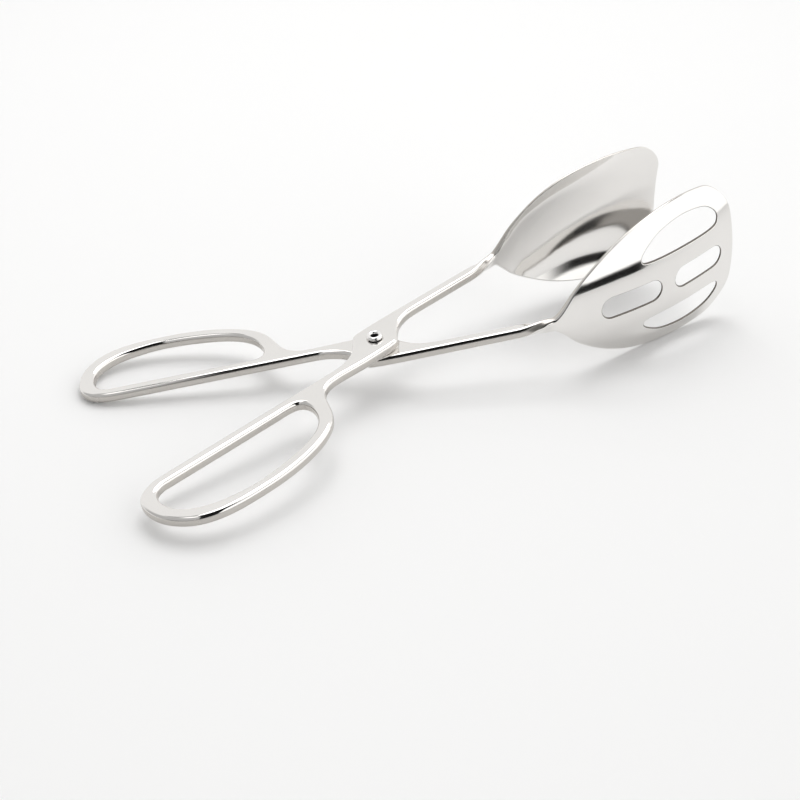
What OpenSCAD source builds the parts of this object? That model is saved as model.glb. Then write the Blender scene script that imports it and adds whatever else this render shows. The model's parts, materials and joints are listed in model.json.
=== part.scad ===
// Scissor serving tongs: two stamped steel arms, one with a solid spoon head
// and one with a slotted spoon head, crossed and joined by one hollow rivet.
// Millimetres. The tongs lie on their underside: +X runs from the finger loops
// to the spoon heads, +Z is up, and the arms mirror each other across Y = 0.

/* [Arms] */
// Thickness of the flat bar the arms are made of
bar_t = 4.2; // [3.6:0.1:4.6]
// Width of the bar in the shank
bar_w = 5.2; // [4.8:0.1:5.6]
// Sideways offset of the shank's middle from the pivot
shank_offset = 6.1; // [5.9:0.05:6.5]
// Gap between the two arms where they slide on each other
slide_gap = 0.1; // [0.06:0.02:0.2]
// Half of the opening angle between the arms, as they lie at rest
half_open = 15.1; // [12:0.1:25]

/* [Finger loops] */
// Distance from the pivot to the back of the loop
loop_back = 115; // [114:0.2:118]
// Sideways reach of the loop's bowed side from the pivot line
loop_bow = 37.2; // [36.6:0.1:38.2]
// Width of the loop's band on the straight side and the bowed side
loop_band = 4.9; // [4.5:0.1:5.3]

/* [Spoon heads] */
// Distance from the pivot to where the heads start
head_start = 69; // [68:0.5:72]
// Distance from the pivot to the solid head's tip edge
solid_tip = 145.4; // [142:0.2:147]
// Distance from the pivot to the slotted head's tip edge
slotted_tip = 151.5; // [150:0.5:153]
// Half of the head's largest height
head_half = 30; // [29:0.1:31]
// Thickness of the sheet in the head
head_t = 1.3; // [1.1:0.05:1.6]
// How deep the head is dished
dish = 8.7; // [7.5:0.1:9.5]
// How far the heads' upper edges lean toward each other, in degrees
lean = 4.7; // [0:0.1:6]
// How far the solid head sits above the middle of its bar
solid_up = 2.4; // [0:0.1:3]
// How far the solid head's tip turns in toward the other head
solid_turn = 21.5; // [19:0.5:24]
// How far the slotted head's tip turns in toward the other head
slotted_turn = 33.5; // [30:0.5:35]
// Radius of the two corners at the tip
tip_corner = 12; // [8:0.5:13]
// How far the tip edge bows out at its middle
tip_bow = 2.4; // [0:0.2:3]

/* [Rivet] */
// Diameter of the rivet's barrel
rivet_d = 4.4; // [4:0.1:4.6]
// Running clearance on radius between the barrel and the lower arm
rivet_play = 0.05; // [0.03:0.01:0.1]
// Diameter of the rivet's hollow
rivet_hollow = 2.8; // [2.4:0.1:3]
// Diameter of the rolled rim
rim_d = 6.2; // [5.8:0.1:6.6]
// Height of the rolled rim above the arm
rim_h = 1.6; // [1.3:0.1:1.7]

/* [Hidden] */
$fn = 96;
half_w = bar_w / 2;
level = slide_gap / 2;                    // underside of the upper arm
tilt = 6.94;                              // the heads lift the front of the tongs
lift = [-24.07, 0, 17.22];                // pivot's place over the floor
s_in = shank_offset - half_w;             // inner edge of the shank
s_out = shank_offset + half_w;            // outer edge of the shank
twist_from = 54;                          // where the bar starts to twist
twist_to = 71;                            // where it stands on edge
solid = 0;                                // names for the two kinds of head
slotted = 1;
tip = [solid_tip, slotted_tip];
turn_in = [solid_turn, slotted_turn];
quarter = [90 - lean, 90 + lean];         // full twist of each arm
head_up = [solid_up, 0];

// Which node to draw

steel = [0.80, 0.79, 0.77];
bright_steel = [0.88, 0.88, 0.87];

// Smooth run of points through a list of points, ends included
function knot(p, i) = p[min(max(i, 0), len(p) - 1)];
function spline_at(a, b, c, d, t) =
    0.5 * ((2 * b) + (c - a) * t + (2 * a - 5 * b + 4 * c - d) * t * t
           + (3 * b - a - 3 * c + d) * t * t * t);
function smooth(p, n = 4) = [
    for (i = [0 : len(p) - 2]) for (j = [0 : n - 1])
        spline_at(knot(p, i - 1), knot(p, i), knot(p, i + 1), knot(p, i + 2), j / n),
    p[len(p) - 1]];
function smooth_closed(p, n = 4) = let (m = len(p)) [
    for (i = [0 : m - 1]) for (j = [0 : n - 1])
        spline_at(p[(i + m - 1) % m], p[i], p[(i + 1) % m], p[(i + 2) % m], j / n)];
function ease(t) = let (u = min(max(t, 0), 1)) u * u * (3 - 2 * u);

// The eye's curved shoulder, from the shank's inner edge to the eye's corner.
// Turned half round the pivot it is also the shoulder behind the eye.
eye_shoulder = [[26, s_in], [20.5, s_in - 0.3], [16.2, 2.1], [12.7, 0.4], [9.9, -1.9],
                [7.4, -4.6], [5.8, -6.6], [4.5, -7.8]];
loop_neck = [[-24, -8.4], [-29, -8.9], [-32.6, -10.6], [-35.1, -13.4], [-36.9, -17.3],
             [-39.2, -22.4], [-42.9, -27.1], [-48.4, -30.9], [-55.4, -33.8], [-63.9, -35.9],
             [-73, -loop_bow + 0.2], [-82, -loop_bow], [-91, -loop_bow + 0.4],
             [-98.6, -35.4], [-105.2, -32.5], [-110.2, -28.1], [-113.8, -22.1],
             [-loop_back, -15.4], [-113.8, -10], [-110.7, -6.6], [-105.6, -4.6], [-99, -4.1]];
loop_hole = [[-100, -4.1 - loop_band], [-76, -4 - loop_band], [-55, -3.8 - loop_band],
             [-47.5, -3.8 - loop_band], [-43.9, -10.2], [-42.7, -14.0], [-43.6, -18.4],
             [-46.4, -22.9], [-51.2, -26.6], [-58.1, -29.3],
             [-66, -loop_bow + loop_band + 1.3], [-74.5, -loop_bow + loop_band + 0.2],
             [-83, -loop_bow + loop_band], [-91, -loop_bow + loop_band + 1.1],
             [-98.3, -29.1], [-104, -25.8], [-107.9, -21.1], [-109, -15.6],
             [-107.5, -11.1], [-104.4, -9.3]];

module arm_outline() {
    difference() {
        polygon(concat(
            smooth(eye_shoulder),
            [[-2, -s_out + 0.3], [-10, -s_out]],
            smooth(loop_neck),
            [for (q = smooth(eye_shoulder)) -q],
            [[2, s_out - 0.3], [10, s_out], [twist_from, s_out], [twist_from, s_in]]));
        polygon(smooth_closed(loop_hole));
    }
}

// Head section at a distance x along the arm
head_rise = [half_w, 0.41 * head_half, 0.65 * head_half, 0.82 * head_half, 0.925 * head_half,
             0.985 * head_half, head_half, 0.965 * head_half, 0.88 * head_half];
function along(x, kind) = min(max((x - head_start) / (tip[kind] - head_start), 0), 1);
function rise_at(s) = let (k = s * (len(head_rise) - 1), i = min(floor(k), len(head_rise) - 2))
    spline_at(knot(head_rise, i - 1), knot(head_rise, i), knot(head_rise, i + 1),
              knot(head_rise, i + 2), k - i);
function corner_drop(d) = tip_corner - sqrt(max(0, tip_corner * tip_corner - d * d));
function half_sheet(x) = bar_t / 2 + (head_t / 2 - bar_t / 2) * ease((x - 62) / 22);
function turn(s, kind) = shank_offset - turn_in[kind] * pow(s, 1.4);
function belly(s) = dish * sin(153 * pow(s, 1.25));
function bow(s, u) = tip_bow * pow(s, 4) * (1 - u * u);
function twist(x, kind) = -quarter[kind] * ease((x - twist_from) / (twist_to - twist_from));
function rise_of(x, kind) = head_up[kind] * ease((x - twist_from) / 40);

// One ring of points: up the outer face, then back down the inner face
across = 12;
function ring(x, kind) =
    let (s = along(x, kind), a = twist(x, kind), b = half_sheet(x), full = rise_at(s),
         h = full - corner_drop(max(0, x - (tip[kind] - tip_corner)))) [
    for (side = [1, -1]) for (i = [0 : across])
        let (w = side * (1 - 2 * i / across) * h,
             n = belly(s) * (2 / 3 - pow(w / full, 2)) + side * b)
        [x + bow(s, w / full), turn(s, kind) + w * cos(a) - n * sin(a),
         w * sin(a) + n * cos(a) + rise_of(x, kind)]];

function stations(kind) = concat(
    [for (x = [twist_from - 1 : 2 : head_start - 1]) x],
    [for (x = [head_start + 1 : 4 : tip[kind] - tip_corner - 2]) x],
    [for (d = [tip_corner, 0.6 * tip_corner, 0.3 * tip_corner, 1, 0.1]) tip[kind] - d]);

module twist_and_head(kind) {
    rings = [for (x = stations(kind)) ring(x, kind)];
    m = len(rings[0]);
    n = len(rings);
    points = [for (r = rings) for (q = r) q];
    walls = [for (i = [0 : n - 2]) for (j = [0 : m - 1]) for (half = [0, 1])
        let (a = i * m + j, b = i * m + (j + 1) % m)
        half == 0 ? [a, b + m, b] : [a, a + m, b + m]];
    start_cap = [for (j = [0 : across - 1]) for (half = [0, 1])
        half == 0 ? [j, j + 1, m - 1 - j] : [j + 1, m - 2 - j, m - 1 - j]];
    end_cap = [for (f = start_cap) [for (k = [2, 1, 0]) f[k] + (n - 1) * m]];
    polyhedron(points, concat(walls, start_cap, end_cap));
}

// Slots, drawn on the head's side view (distance along the arm, height)
side_slot = [[107.8, 14.2], [111, 12.4], [127.5, 12.2], [142, 12.5], [145.4, 14.5],
             [144.5, 18.3], [139, 22.2], [128.5, 23.6], [117.5, 21.7], [110.3, 17.6]];

module round_slot(x0, x1, r) {
    translate([x0 + r, 0]) circle(r, $fn = 32);
    translate([x1 - r, 0]) circle(r, $fn = 32);
    translate([x0 + r, -r]) square([x1 - x0 - 2 * r, 2 * r]);
}

module slots() {
    rotate([90, 0, 0]) translate([0, 0, -40]) linear_extrude(80) {
        round_slot(89, 116, 4.5);
        round_slot(122.6, 146.8, 4.5);
        for (flip = [1, -1]) scale([1, flip]) polygon(smooth_closed(side_slot, 3));
    }
}

// One arm in its own frame: pivot at the origin, flat from z = 0 to bar_t
module arm(kind) {
    difference() {
        union() {
            linear_extrude(bar_t) arm_outline();
            translate([0, 0, bar_t / 2]) twist_and_head(kind);
        }
        translate([0, 0, -1]) cylinder(h = bar_t + 2, d = rivet_d + 2 * rivet_play);
        if (kind == slotted) translate([0, 0, bar_t / 2]) slots();
    }
}

module place() {
    translate(lift) rotate([0, -tilt, 0]) children();
}

module upper_arm_solid_spoon() {
    color(steel) place() rotate([0, 0, half_open]) translate([0, 0, level]) arm(solid);
}

module lower_arm_slotted_spoon() {
    color(steel) place() rotate([0, 0, -half_open]) translate([0, 0, -level])
        rotate([180, 0, 0]) arm(slotted);
}

// Hollow barrel with a round rolled rim at each end
rim_r = (rim_d - rivet_hollow) / 4;
stack = bar_t + level;                    // arm face above the sliding plane
rim_base = stack + 0.05;                  // underside of the rim
module pivot_rivet() {
    color(bright_steel) place() rotate_extrude() {
        translate([rivet_hollow / 2, -rim_base - rim_h + rim_r])
            square([(rivet_d - rivet_hollow) / 2, 2 * (rim_base + rim_h - rim_r)]);
        for (end = [1, -1]) scale([1, end]) translate([0, rim_base])
            intersection() {
                translate([rivet_hollow / 2 + rim_r, rim_h - rim_r]) circle(rim_r, $fn = 48);
                square([rim_d, rim_h]);
            }
    }
}

upper_arm_solid_spoon();
lower_arm_slotted_spoon();
pivot_rivet();
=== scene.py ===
"""Scissor serving tongs in polished stainless steel, lying half open on a pale table.

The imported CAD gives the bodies, the joint and the sizes. Each arm is rebuilt here as one
stamped blank: a flat outline with rounded edges, bent through a quarter twist into a dished
spoon head. Lengths in the blank are millimetres, and the meshes are metres.
"""
import json
import math

import bpy
from mathutils import Matrix, Vector
from mathutils.geometry import delaunay_2d_cdt


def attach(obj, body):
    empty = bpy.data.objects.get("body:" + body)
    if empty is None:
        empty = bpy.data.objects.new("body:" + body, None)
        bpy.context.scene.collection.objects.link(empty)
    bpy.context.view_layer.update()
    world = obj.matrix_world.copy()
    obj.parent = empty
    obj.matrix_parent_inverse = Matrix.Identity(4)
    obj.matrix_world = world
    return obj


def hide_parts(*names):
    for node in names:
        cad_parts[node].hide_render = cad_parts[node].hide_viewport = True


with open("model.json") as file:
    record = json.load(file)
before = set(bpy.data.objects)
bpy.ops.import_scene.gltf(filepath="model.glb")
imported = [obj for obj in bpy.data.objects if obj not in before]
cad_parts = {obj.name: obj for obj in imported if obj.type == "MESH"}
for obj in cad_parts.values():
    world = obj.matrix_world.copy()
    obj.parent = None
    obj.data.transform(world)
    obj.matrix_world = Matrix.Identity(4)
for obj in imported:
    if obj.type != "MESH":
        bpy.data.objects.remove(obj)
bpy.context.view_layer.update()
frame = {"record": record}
scene = bpy.context.scene
MM = 0.001

# ---------------------------------------------------------------- sizes, as in the CAD
BAR_T = 4.2                 # thickness of the flat bar
BAR_W = 5.2                 # width of the shank
SHANK = 6.1                 # sideways offset of the shank's middle from the pivot
LEVEL = 0.05                # each arm's distance from the sliding plane
HALF_OPEN = math.radians(15.1)
LOOP_BACK, LOOP_BOW, BAND = 115.0, 37.2, 4.9
HEAD_START, TWIST_FROM, TWIST_TO = 69.0, 54.0, 71.0
HEAD_HALF, HEAD_T, DISH, TIP_CORNER, TIP_BOW = 30.0, 1.3, 8.7, 12.0, 2.4
TIP = {"solid": 145.4, "slotted": 151.5}       # distance from the pivot to each tip edge
TURN_IN = {"solid": 21.5, "slotted": 33.5}     # how far each tip turns in
LEAN = 4.7                  # the heads' upper edges lean toward each other, degrees
TWIST = {"solid": 90 - LEAN, "slotted": 90 + LEAN}
HEAD_UP = {"solid": 2.4, "slotted": 0.0}       # how far each head sits over its bar
THIN_FROM, THIN_OVER = 62, 22                  # where the bar starts to thin, and over what length
BELLY_ANGLE, BELLY_POWER = 153, 1.25           # the dish's depth along the head
RIVET_R, RIVET_HOLE_R, RIM_R, RIM_H = 2.2, 1.4, 3.1, 1.6
RIVET_PLAY, RIM_GAP = 0.05, 0.05             # round the barrel, and under each rim
INNER_EDGE, OUTER_EDGE = SHANK - BAR_W / 2, SHANK + BAR_W / 2

joint = frame["record"]["behaviour"]["joints"][0]
PIVOT = Vector(joint["pos_m"])
TILT = math.atan2(-joint["axis"][0], joint["axis"][2])   # the slotted head lifts the front
PLACE = Matrix.Translation(PIVOT) @ Matrix.Rotation(-TILT, 4, "Y")
UPPER = PLACE @ Matrix.Rotation(HALF_OPEN, 4, "Z") @ Matrix.Translation((0, 0, LEVEL * MM))
LOWER = (PLACE @ Matrix.Rotation(-HALF_OPEN, 4, "Z") @ Matrix.Translation((0, 0, -LEVEL * MM))
         @ Matrix.Rotation(math.pi, 4, "X"))


# ---------------------------------------------------------------- curves in the blank
def spline_at(a, b, c, d, t):
    """A point of the smooth curve from b to c, at t from 0 to 1."""
    return 0.5 * (2 * b + (c - a) * t + (2 * a - 5 * b + 4 * c - d) * t * t
                  + (3 * b - a - 3 * c + d) * t * t * t)


def smooth(points, closed=False, n=12):
    """A smooth run of points through the given ones."""
    p = [Vector(q) for q in points]
    m = len(p)
    pick = (lambda i: p[i % m]) if closed else (lambda i: p[min(max(i, 0), m - 1)])
    out = [spline_at(pick(i - 1), pick(i), pick(i + 1), pick(i + 2), j / n)
           for i in range(m if closed else m - 1) for j in range(n)]
    return out if closed else out + [p[-1]]


def spaced(points, step):
    """The same closed loop, with its points evenly spaced."""
    loop = points + [points[0]]
    length = sum((b - a).length for a, b in zip(loop, loop[1:]))
    count = int(length / step)
    gap, out, walked, k = length / count, [], 0.0, 0
    for i in range(count):
        while walked + (loop[k + 1] - loop[k]).length < i * gap:
            walked += (loop[k + 1] - loop[k]).length
            k += 1
        piece = (loop[k + 1] - loop[k]).length
        out.append(loop[k].lerp(loop[k + 1], (i * gap - walked) / max(piece, 1e-9)))
    return out


def ease(t):
    u = min(max(t, 0.0), 1.0)
    return u * u * (3 - 2 * u)


# ---------------------------------------------------------------- the head's shape
HEAD_RISE = [BAR_W / 2] + [HEAD_HALF * k for k in (0.41, 0.65, 0.82, 0.925, 0.985, 1, 0.965, 0.88)]


def along(x, kind):
    return min(max((x - HEAD_START) / (TIP[kind] - HEAD_START), 0.0), 1.0)


def rise_at(s):
    """Half of the head's height before its tip corners are rounded."""
    k = s * (len(HEAD_RISE) - 1)
    i = min(int(k), len(HEAD_RISE) - 2)
    pick = lambda j: HEAD_RISE[min(max(j, 0), len(HEAD_RISE) - 1)]
    return spline_at(pick(i - 1), pick(i), pick(i + 1), pick(i + 2), k - i)


def bow(x, w, kind):
    """How far the tip edge's outward curve moves a point at height w in the head."""
    s = along(x, kind)
    return TIP_BOW * s ** 4 * (1 - (w / rise_at(s)) ** 2)


def thinning(x):
    """How thick the metal is at x, as a share of the bar's thickness."""
    return 1 + (HEAD_T / BAR_T - 1) * ease((x - THIN_FROM) / THIN_OVER)


def bent(x, y, n, kind):
    """Where a point of the blank goes when the arm is twisted and its head is dished.

    x is along the arm, y across it, and n is from -1 (underside) to 1 (upper side)."""
    s, w = along(x, kind), y - SHANK
    turn = math.radians(-TWIST[kind] * ease((x - TWIST_FROM) / (TWIST_TO - TWIST_FROM)))
    belly = DISH * math.sin(math.radians(BELLY_ANGLE * s ** BELLY_POWER))
    out = belly * (2 / 3 - (w / rise_at(s)) ** 2) + n * thinning(x) * BAR_T / 2
    up = HEAD_UP[kind] * ease((x - TWIST_FROM) / 40)
    side = SHANK - TURN_IN[kind] * s ** 1.4
    return Vector((x + bow(x, w, kind), side + w * math.cos(turn) - out * math.sin(turn),
                   BAR_T / 2 + up + w * math.sin(turn) + out * math.cos(turn))) * MM


# ---------------------------------------------------------------- the blank's outline
SHOULDER = [(26, INNER_EDGE), (20.5, INNER_EDGE - 0.3), (16.2, 2.1), (12.7, 0.4), (9.9, -1.9),
            (7.4, -4.6), (5.8, -6.6), (4.5, -7.8)]
LOOP_OUTSIDE = [(-24, -8.4), (-29, -8.9), (-32.6, -10.6), (-35.1, -13.4), (-36.9, -17.3),
                (-39.2, -22.4), (-42.9, -27.1), (-48.4, -30.9), (-55.4, -33.8), (-63.9, -35.9),
                (-73, -LOOP_BOW + 0.2), (-82, -LOOP_BOW), (-91, -LOOP_BOW + 0.4),
                (-98.6, -35.4), (-105.2, -32.5), (-110.2, -28.1), (-113.8, -22.1),
                (-LOOP_BACK, -15.4), (-113.8, -10), (-110.7, -6.6), (-105.6, -4.6), (-99, -4.1)]
LOOP_INSIDE = [(-100, -4.1 - BAND), (-76, -4 - BAND), (-55, -3.8 - BAND), (-47.5, -3.8 - BAND),
               (-43.9, -10.2), (-42.7, -14.0), (-43.6, -18.4), (-46.4, -22.9), (-51.2, -26.6),
               (-58.1, -29.3), (-66, -LOOP_BOW + BAND + 1.3), (-74.5, -LOOP_BOW + BAND + 0.2),
               (-83, -LOOP_BOW + BAND), (-91, -LOOP_BOW + BAND + 1.1), (-98.3, -29.1),
               (-104, -25.8), (-107.9, -21.1), (-109, -15.6), (-107.5, -11.1), (-104.4, -9.3)]
SIDE_SLOT = [(107.8, 14.2), (111, 12.4), (127.5, 12.2), (142, 12.5), (145.4, 14.5),
             (144.5, 18.3), (139, 22.2), (128.5, 23.6), (117.5, 21.7), (110.3, 17.6)]
CENTRE_SLOTS = [(89, 116), (122.6, 146.8)]
SLOT_R = 4.5
OUTLINE_STEP = 0.7                             # spacing of the points along every outline


def straight(a, b, step=1.0):
    a, b = Vector(a), Vector(b)
    n = max(1, int((b - a).length / step))
    return [a.lerp(b, i / n) for i in range(n)]


def head_edge(kind):
    """The head's upper edge from the shank to the middle of the tip."""
    tip, r = TIP[kind], TIP_CORNER
    run = [Vector((x / 2, rise_at(along(x / 2, kind))))
           for x in range(int(2 * TWIST_FROM), int(2 * (tip - r)))]
    corner = []
    for i in range(25):
        a = math.radians(90 * i / 24)
        x = tip - r + r * math.sin(a)
        corner.append(Vector((x, rise_at(along(x, kind)) - r * (1 - math.cos(a)))))
    return run + corner + [Vector((tip, y)) for y in range(int(corner[-1].y) - 1, 0, -1)]


def outline(kind):
    """The blank's outer edge, clockwise seen from above."""
    half = head_edge(kind)
    up = [Vector((p.x, SHANK + p.y)) for p in half]
    down = [Vector((p.x, SHANK - p.y)) for p in reversed(half)]
    shoulder = smooth(SHOULDER + [(1.5, -8.3), (-4, -8.55), (-12, -8.7), (-19, -8.5)]
                      + LOOP_OUTSIDE)
    front = smooth([(-x, -y) for x, y in SHOULDER]
                   + [(-1.5, 8.3), (4, 8.6), (10, OUTER_EDGE), (16, OUTER_EDGE)])
    return spaced(shoulder + straight(shoulder[-1], front[0]) + front
                  + straight(front[-1], up[0]) + up + down + straight(down[-1], shoulder[0]),
                  OUTLINE_STEP)


def ring_of(cx, cy, r, n):
    return [Vector((cx + r * math.cos(2 * math.pi * i / n), cy + r * math.sin(2 * math.pi * i / n)))
            for i in range(n)]


def unbowed(loop, kind):
    """A slot's outline, moved so that it is in its true place after the tip's curve."""
    out = []
    for p in loop:
        x = p.x
        for _ in range(4):
            x = p.x - bow(x, p.y - SHANK, kind)
        out.append(Vector((x, p.y)))
    return out


def round_slot(x0, x1, r):
    left = [Vector((x0 + r + r * math.cos(math.radians(a)), SHANK + r * math.sin(math.radians(a))))
            for a in range(90, 271, 10)]
    right = [Vector((x1 - r + r * math.cos(math.radians(a)), SHANK + r * math.sin(math.radians(a))))
             for a in range(-90, 91, 10)]
    return spaced(left + straight(left[-1], right[0]) + right + straight(right[-1], left[0]),
                  OUTLINE_STEP)


def holes(kind):
    """The finger loop's opening, the rivet's hole and, in the slotted head, its four slots."""
    found = [spaced(smooth(LOOP_INSIDE, closed=True), OUTLINE_STEP),
             ring_of(0, 0, RIVET_R + RIVET_PLAY, 40)]
    if kind == "slotted":
        slots = [round_slot(a, b, SLOT_R) for a, b in CENTRE_SLOTS]
        for side in (1, -1):
            path = [(x, SHANK + side * z) for x, z in SIDE_SLOT]
            slots.append(spaced(smooth(path, closed=True), OUTLINE_STEP))
        found += [unbowed(slot, kind) for slot in slots]
    return found


def area(loop):
    return 0.5 * sum(a.x * b.y - b.x * a.y for a, b in zip(loop, loop[1:] + loop[:1]))


def inside(q, loop):
    hit = False
    for a, b in zip(loop, loop[1:] + loop[:1]):
        if (a.y > q.y) != (b.y > q.y) and q.x < (b.x - a.x) * (q.y - a.y) / (b.y - a.y) + a.x:
            hit = not hit
    return hit


# ---------------------------------------------------------------- one arm as a mesh
EDGE_R = 1.5                                   # rounding of the bar's edges
STEPS = 7                                      # facets in each rounded edge
SIDE_ROWS = range(STEPS - 1, STEPS + 4)        # rows of an edge that lie on the bar's side
SLOT_ROWS = range(3, 2 * STEPS + 1)            # rows of a slot's edge, punched and rougher, coloured near black as painted shade in the slot
FIRST_SLOT = 3                                 # loops before it: outline, finger loop, rivet hole
GRID = 1.4                                     # spacing of the points inside the caps
FACE, SIDE, SLOT = range(3)                    # places of an arm's materials


def edge_profile():
    """(inset from the outline, height from -1 to 1), from the upper face round to the lower."""
    h = BAR_T / 2
    top = [(EDGE_R + 0.25, 1.0)] + [
        (EDGE_R * (1 - math.sin(math.radians(90 * i / STEPS))),
         (h - EDGE_R * (1 - math.cos(math.radians(90 * i / STEPS)))) / h) for i in range(STEPS + 1)]
    return top + [(d, -n) for d, n in reversed(top)]


def make_arm(name, kind, matrix, materials):
    """One arm: a rounded edge along every outline, and a flat cap on each side, all bent."""
    loops = [outline(kind)] + holes(kind)
    profile = edge_profile()
    points, faces, first_rings, last_rings = [], [], [], []
    finish = []                                # which material each face takes
    flat = []                                  # the caps' loops in the blank's plane
    for k, loop in enumerate(loops):
        m = len(loop)
        turn = 1 if (area(loop) < 0) == (k == 0) else -1
        normals = []
        for i in range(m):
            t = (loop[(i + 1) % m] - loop[i - 1]).normalized()
            normals.append(Vector((t.y, -t.x)) * turn)
        start = len(points)
        for d, n in profile:
            for p, q in zip(loop, normals):
                at = p + q * d * thinning(p.x)
                points.append(bent(at.x, at.y, n, kind))
        for r in range(len(profile) - 1):
            for i in range(m):
                a, b = start + r * m + i, start + r * m + (i + 1) % m
                quad = (a, b, b + m, a + m)
                if k >= FIRST_SLOT and r in SLOT_ROWS:
                    finish.append(SLOT)
                else:
                    finish.append(SIDE if r in SIDE_ROWS else FACE)
                faces.append(quad if turn > 0 else quad[::-1])
        inset = profile[0][0]
        flat.append([p + q * inset * thinning(p.x) for p, q in zip(loop, normals)])
        first_rings.append(range(start, start + m))
        last_rings.append(range(start + (len(profile) - 1) * m, start + len(profile) * m))

    # points inside the twist and the head, so that the caps follow their curves
    extra = []
    x = TWIST_FROM - 6
    edge = flat[0]
    while x < TIP[kind] - 0.8:
        reach = rise_at(along(x, kind))
        n = max(1, int(reach / GRID))
        for j in range(-n, n + 1):
            q = Vector((x, SHANK + j * reach / n))
            clear = all((q - e).length > OUTLINE_STEP for loop in flat for e in loop)
            if clear and inside(q, edge) and not any(inside(q, h) for h in flat[1:]):
                extra.append(q)
        x += GRID

    verts2, edges2 = [], []
    for loop in flat:
        s = len(verts2)
        verts2 += loop
        edges2 += [(s + i, s + (i + 1) % len(loop)) for i in range(len(loop))]
    on_edge = len(verts2)
    verts2 += extra
    out, _, tris, origin, _, _ = delaunay_2d_cdt(verts2, edges2, [], 1, 1e-5)
    upper_of = [i for ring in first_rings for i in ring]
    lower_of = [i for ring in last_rings for i in ring]
    top_id, low_id = {}, {}
    for i, o in enumerate(origin):
        src = o[0] if o else None
        if src is not None and src < on_edge:
            top_id[i], low_id[i] = upper_of[src], lower_of[src]
        else:
            for ids, n in ((top_id, 1.0), (low_id, -1.0)):
                ids[i] = len(points)
                points.append(bent(out[i].x, out[i].y, n, kind))
    for t in tris:
        mid = sum((out[i] for i in t), Vector((0, 0))) / 3
        if not inside(mid, edge) or any(inside(mid, h) for h in flat[1:]):
            continue
        a = area([out[i] for i in t])
        t = t if a > 0 else t[::-1]
        faces.append([top_id[i] for i in t])
        faces.append([low_id[i] for i in reversed(t)])
        finish += [FACE, FACE]

    mesh = bpy.data.meshes.new(name)
    mesh.from_pydata([matrix @ p for p in points], [], faces)
    mesh.polygons.foreach_set("use_smooth", [True] * len(mesh.polygons))
    mesh.polygons.foreach_set("material_index", finish)
    for material in materials:
        mesh.materials.append(material)
    mesh.validate()
    piece = bpy.data.objects.new(name, mesh)
    scene.collection.objects.link(piece)
    return piece


# ---------------------------------------------------------------- the rivet
def make_rivet(name, matrix, material):
    """A hollow rivet, open right through, with a round rim rolled over on each side."""
    base = BAR_T + LEVEL + RIM_GAP             # underside of the rim
    tube = (RIM_R - RIVET_HOLE_R) / 2
    middle, crown = RIVET_HOLE_R + tube, base + RIM_H - tube
    start = math.degrees(math.asin((tube - RIM_H) / tube))
    rim = [(middle + tube * math.cos(math.radians(a)), crown + tube * math.sin(math.radians(a)))
           for a in [start + (180 - start) * i / 20 for i in range(21)]]
    section = [(RIVET_R, base)] + rim + [(r, -z) for r, z in reversed(rim)] + [(RIVET_R, -base)]
    count, points, faces = 72, [], []
    for r, z in section:
        points += [p * MM for p in (Vector((q.x, q.y, z)) for q in ring_of(0, 0, r, count))]
    for k in range(len(section)):
        for i in range(count):
            here, there = k * count, (k + 1) % len(section) * count
            j = (i + 1) % count
            faces.append((here + i, here + j, there + j, there + i))
    mesh = bpy.data.meshes.new(name)
    mesh.from_pydata([matrix @ p for p in points], [], faces)
    mesh.polygons.foreach_set("use_smooth", [True] * len(mesh.polygons))
    mesh.materials.append(material)
    mesh.validate()
    piece = bpy.data.objects.new(name, mesh)
    scene.collection.objects.link(piece)
    return piece


# ---------------------------------------------------------------- materials
def steel_material(name, tint, rough_low, rough_high, wave):
    """Polished stainless steel: faint grain, uneven polish and a very slight ripple."""
    mat = bpy.data.materials.new(name)
    mat.use_nodes = True
    nodes, links = mat.node_tree.nodes, mat.node_tree.links
    shader = nodes["Principled BSDF"]
    shader.inputs["Metallic"].default_value = 1.0
    where = nodes.new("ShaderNodeTexCoord")

    def noise(scale, detail, stretch=(1, 1, 1)):
        place = nodes.new("ShaderNodeMapping")
        place.inputs["Scale"].default_value = stretch
        links.new(where.outputs["Object"], place.inputs["Vector"])
        tex = nodes.new("ShaderNodeTexNoise")
        tex.inputs["Scale"].default_value = scale
        tex.inputs["Detail"].default_value = detail
        links.new(place.outputs["Vector"], tex.inputs["Vector"])
        return tex.outputs["Fac"]

    def spread(source, low, high, start=0.3, end=0.7):
        ramp = nodes.new("ShaderNodeMapRange")
        ramp.inputs["From Min"].default_value = start
        ramp.inputs["From Max"].default_value = end
        ramp.inputs["To Min"].default_value = low
        ramp.inputs["To Max"].default_value = high
        links.new(source, ramp.inputs["Value"])
        return ramp.outputs["Result"]

    patches = noise(38, 3)
    grain = noise(900, 2, (0.12, 1, 1))
    colour = nodes.new("ShaderNodeMix")
    colour.data_type = "RGBA"
    colour.inputs["A"].default_value = (*tint, 1)
    colour.inputs["B"].default_value = (*[min(1, c * 1.05) for c in tint], 1)
    links.new(spread(patches, 0, 1), colour.inputs["Factor"])
    links.new(colour.outputs["Result"], shader.inputs["Base Color"])
    links.new(spread(patches, rough_low, rough_high), shader.inputs["Roughness"])
    ripple = nodes.new("ShaderNodeBump")
    ripple.inputs["Strength"].default_value = 0.35
    ripple.inputs["Distance"].default_value = wave
    links.new(noise(60, 1), ripple.inputs["Height"])
    fine = nodes.new("ShaderNodeBump")
    fine.inputs["Strength"].default_value = 0.12
    fine.inputs["Distance"].default_value = 0.00003
    links.new(grain, fine.inputs["Height"])
    links.new(ripple.outputs["Normal"], fine.inputs["Normal"])
    links.new(fine.outputs["Normal"], shader.inputs["Normal"])
    return mat


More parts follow.
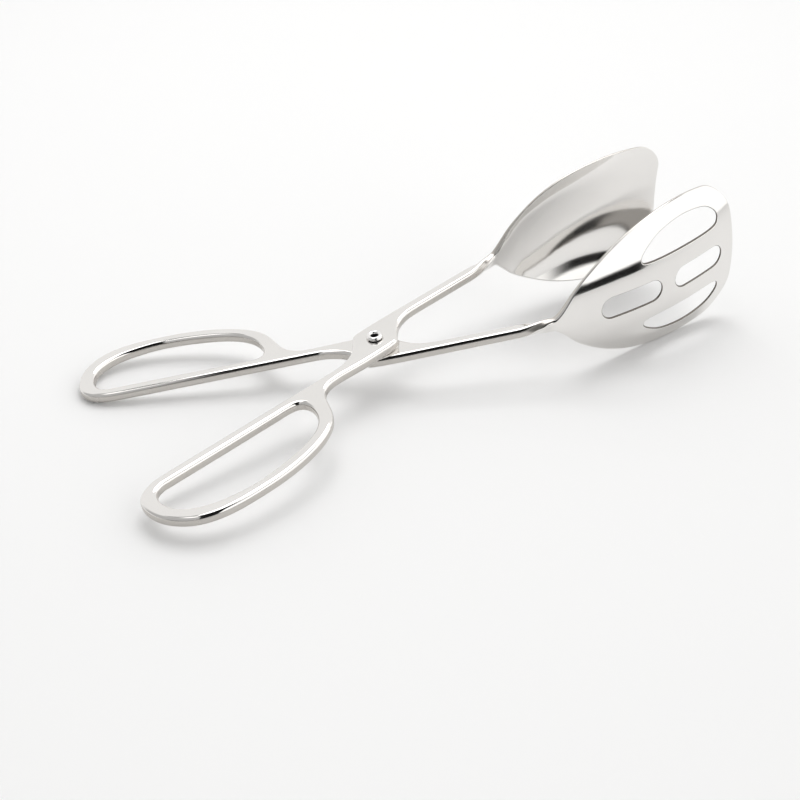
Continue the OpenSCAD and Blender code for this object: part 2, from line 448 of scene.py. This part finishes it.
arm_steel = steel_material("arm_steel", (0.80, 0.785, 0.765), 0.05, 0.09, 0.00008)
# darker, rougher steel on the bars' sides: partly the duller edge finish, partly painted shade for
# the arm's shadow on its own sides
side_steel_with_painted_shade = steel_material("side_steel_with_painted_shade", (0.56, 0.535, 0.505), 0.22, 0.34, 0.0002)
# near-black steel on the slots' walls: painted shade inside the slots
slot_wall_painted_shade = steel_material("slot_wall_painted_shade", (0.15, 0.135, 0.12), 0.30, 0.42, 0.0002)
rivet_steel = steel_material("rivet_steel", (0.84, 0.83, 0.82), 0.12, 0.18, 0.00005)

for name, kind, matrix, body, node in (
        ("arm_with_solid_spoon", "solid", UPPER, "upper_arm", "upper_arm_solid_spoon"),
        ("arm_with_slotted_spoon", "slotted", LOWER, "lower_arm", "lower_arm_slotted_spoon")):
    arm = make_arm(name, kind, matrix, (arm_steel, side_steel_with_painted_shade, slot_wall_painted_shade))
    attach(arm, body)
    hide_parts(node)
rivet = make_rivet("hollow_rivet", PLACE, rivet_steel)
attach(rivet, "upper_arm")
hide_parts("pivot_rivet")


# ---------------------------------------------------------------- floor, light and camera
def make_floor():
    """A plain pale floor under the tongs, which is not part of them."""
    size = 3.0
    mesh = bpy.data.meshes.new("floor")
    mesh.from_pydata([(-size, -size, 0), (size, -size, 0), (size, size, 0), (-size, size, 0)], [],
                     [(0, 1, 2, 3)])
    mat = bpy.data.materials.new("floor")
    mat.use_nodes = True
    shader = mat.node_tree.nodes["Principled BSDF"]
    shader.inputs["Base Color"].default_value = (0.93, 0.93, 0.93, 1)
    shader.inputs["Roughness"].default_value = 0.6
    mesh.materials.append(mat)
    floor = bpy.data.objects.new("floor", mesh)
    scene.collection.objects.link(floor)


def make_world():
    """A white tent with a dark slit overhead, a dark seam under its roof and a dark skirting.

    phi is the compass angle from -Y towards +X, and height is the angle over the horizon."""
    world = bpy.data.worlds.new("studio")
    world.use_nodes = True
    nodes, links = world.node_tree.nodes, world.node_tree.links

    def calc(operation, *values):
        node = nodes.new("ShaderNodeMath")
        node.operation = operation
        for socket, value in zip(node.inputs, values):
            if isinstance(value, (int, float)):
                socket.default_value = value
            else:
                links.new(value, socket)
        return node.outputs[0]

    def rises(value, at, soft):
        node = nodes.new("ShaderNodeMapRange")
        node.interpolation_type = "SMOOTHSTEP"
        node.inputs["From Min"].default_value = at - soft
        node.inputs["From Max"].default_value = at + soft
        links.new(value, node.inputs["Value"])
        return node.outputs["Result"]

    def between(value, low, high, soft):
        return calc("SUBTRACT", rises(value, low, soft), rises(value, high, soft))

    def blend(a, b, share):
        return calc("ADD", calc("MULTIPLY", a, calc("SUBTRACT", 1, share)),
                    calc("MULTIPLY", b, share))

    where = nodes.new("ShaderNodeTexCoord")
    split = nodes.new("ShaderNodeSeparateXYZ")
    links.new(where.outputs["Generated"], split.inputs["Vector"])
    x, y, z = split.outputs
    phi = calc("MULTIPLY", calc("ARCTAN2", x, calc("MULTIPLY", y, -1)), 180 / math.pi)
    height = calc("MULTIPLY", calc("ARCSINE", z), 180 / math.pi)

    far_wall, right_wall, left_wall, roof, in_the_dark = 0.96, 1.32, 0.52, 1.45, 0.012
    walls = blend(blend(far_wall, right_wall, between(phi, -6, 112, 14)), left_wall,
                  between(phi, -128, -8, 14))
    light = blend(walls, roof, rises(height, 66, 5))
    seam = calc("MULTIPLY", between(height, 55.5, 63.5, 1.5),
                calc("SUBTRACT", 1, between(phi, -140, -28, 10)))
    slit_plane = math.radians(-10)             # the open slit runs over the camera
    sideways = calc("ADD", calc("MULTIPLY", x, math.cos(slit_plane)),
                    calc("MULTIPLY", y, math.sin(slit_plane)))
    forward = calc("SUBTRACT", calc("MULTIPLY", x, math.sin(slit_plane)),
                   calc("MULTIPLY", y, math.cos(slit_plane)))
    slit = calc("MULTIPLY", between(sideways, -0.215, 0.225, 0.025), rises(forward, -0.36, 0.04))
    skirting = calc("MULTIPLY", between(height, -3, 6.0, 1.2), between(phi, -75, 38, 8))
    dark = calc("MAXIMUM", slit, calc("MAXIMUM", calc("MULTIPLY", seam, 0.9), skirting))
    light = blend(light, in_the_dark, dark)
    background = nodes["Background"]
    background.inputs["Color"].default_value = (1, 0.996, 0.988, 1)
    links.new(light, background.inputs["Strength"])
    scene.world = world


def area_light(name, at, aim, size, power):
    """A soft rectangular light, power in watts."""
    light = bpy.data.lights.new(name, "AREA")
    light.shape = "RECTANGLE"
    light.size, light.size_y = size
    light.energy = power
    lamp = bpy.data.objects.new(name, light)
    lamp.location = at
    lamp.rotation_euler = (Vector(aim) - Vector(at)).to_track_quat("-Z", "Y").to_euler()
    scene.collection.objects.link(lamp)


CAMERA_AIM = Vector((-0.0207, -0.0141, 0))     # the point of the floor it looks at
CAMERA_DISTANCE = 0.5123
CAMERA_AZIMUTH, CAMERA_ELEVATION = 26.07, 35.0
CAMERA_LENS = 59.8                             # mm, on a sensor 36 mm wide


def make_camera():
    """Looks down at the tongs from the front left, without roll."""
    azimuth, elevation = math.radians(CAMERA_AZIMUTH), math.radians(CAMERA_ELEVATION)
    back = Vector((-math.sin(azimuth) * math.cos(elevation),
                   -math.cos(azimuth) * math.cos(elevation), math.sin(elevation)))
    data = bpy.data.cameras.new("camera")
    data.lens, data.sensor_width = CAMERA_LENS, 36.0
    data.clip_start = 0.01
    camera = bpy.data.objects.new("camera", data)
    camera.location = CAMERA_AIM + back * CAMERA_DISTANCE
    camera.rotation_euler = back.to_track_quat("Z", "Y").to_euler()
    scene.collection.objects.link(camera)
    scene.camera = camera


make_floor()
make_world()
area_light("overhead", (0.2, 0.4, 1.1), (0, 0, 0), (0.8, 0.8), 5.2)
make_camera()
scene.view_settings.view_transform = "Standard"
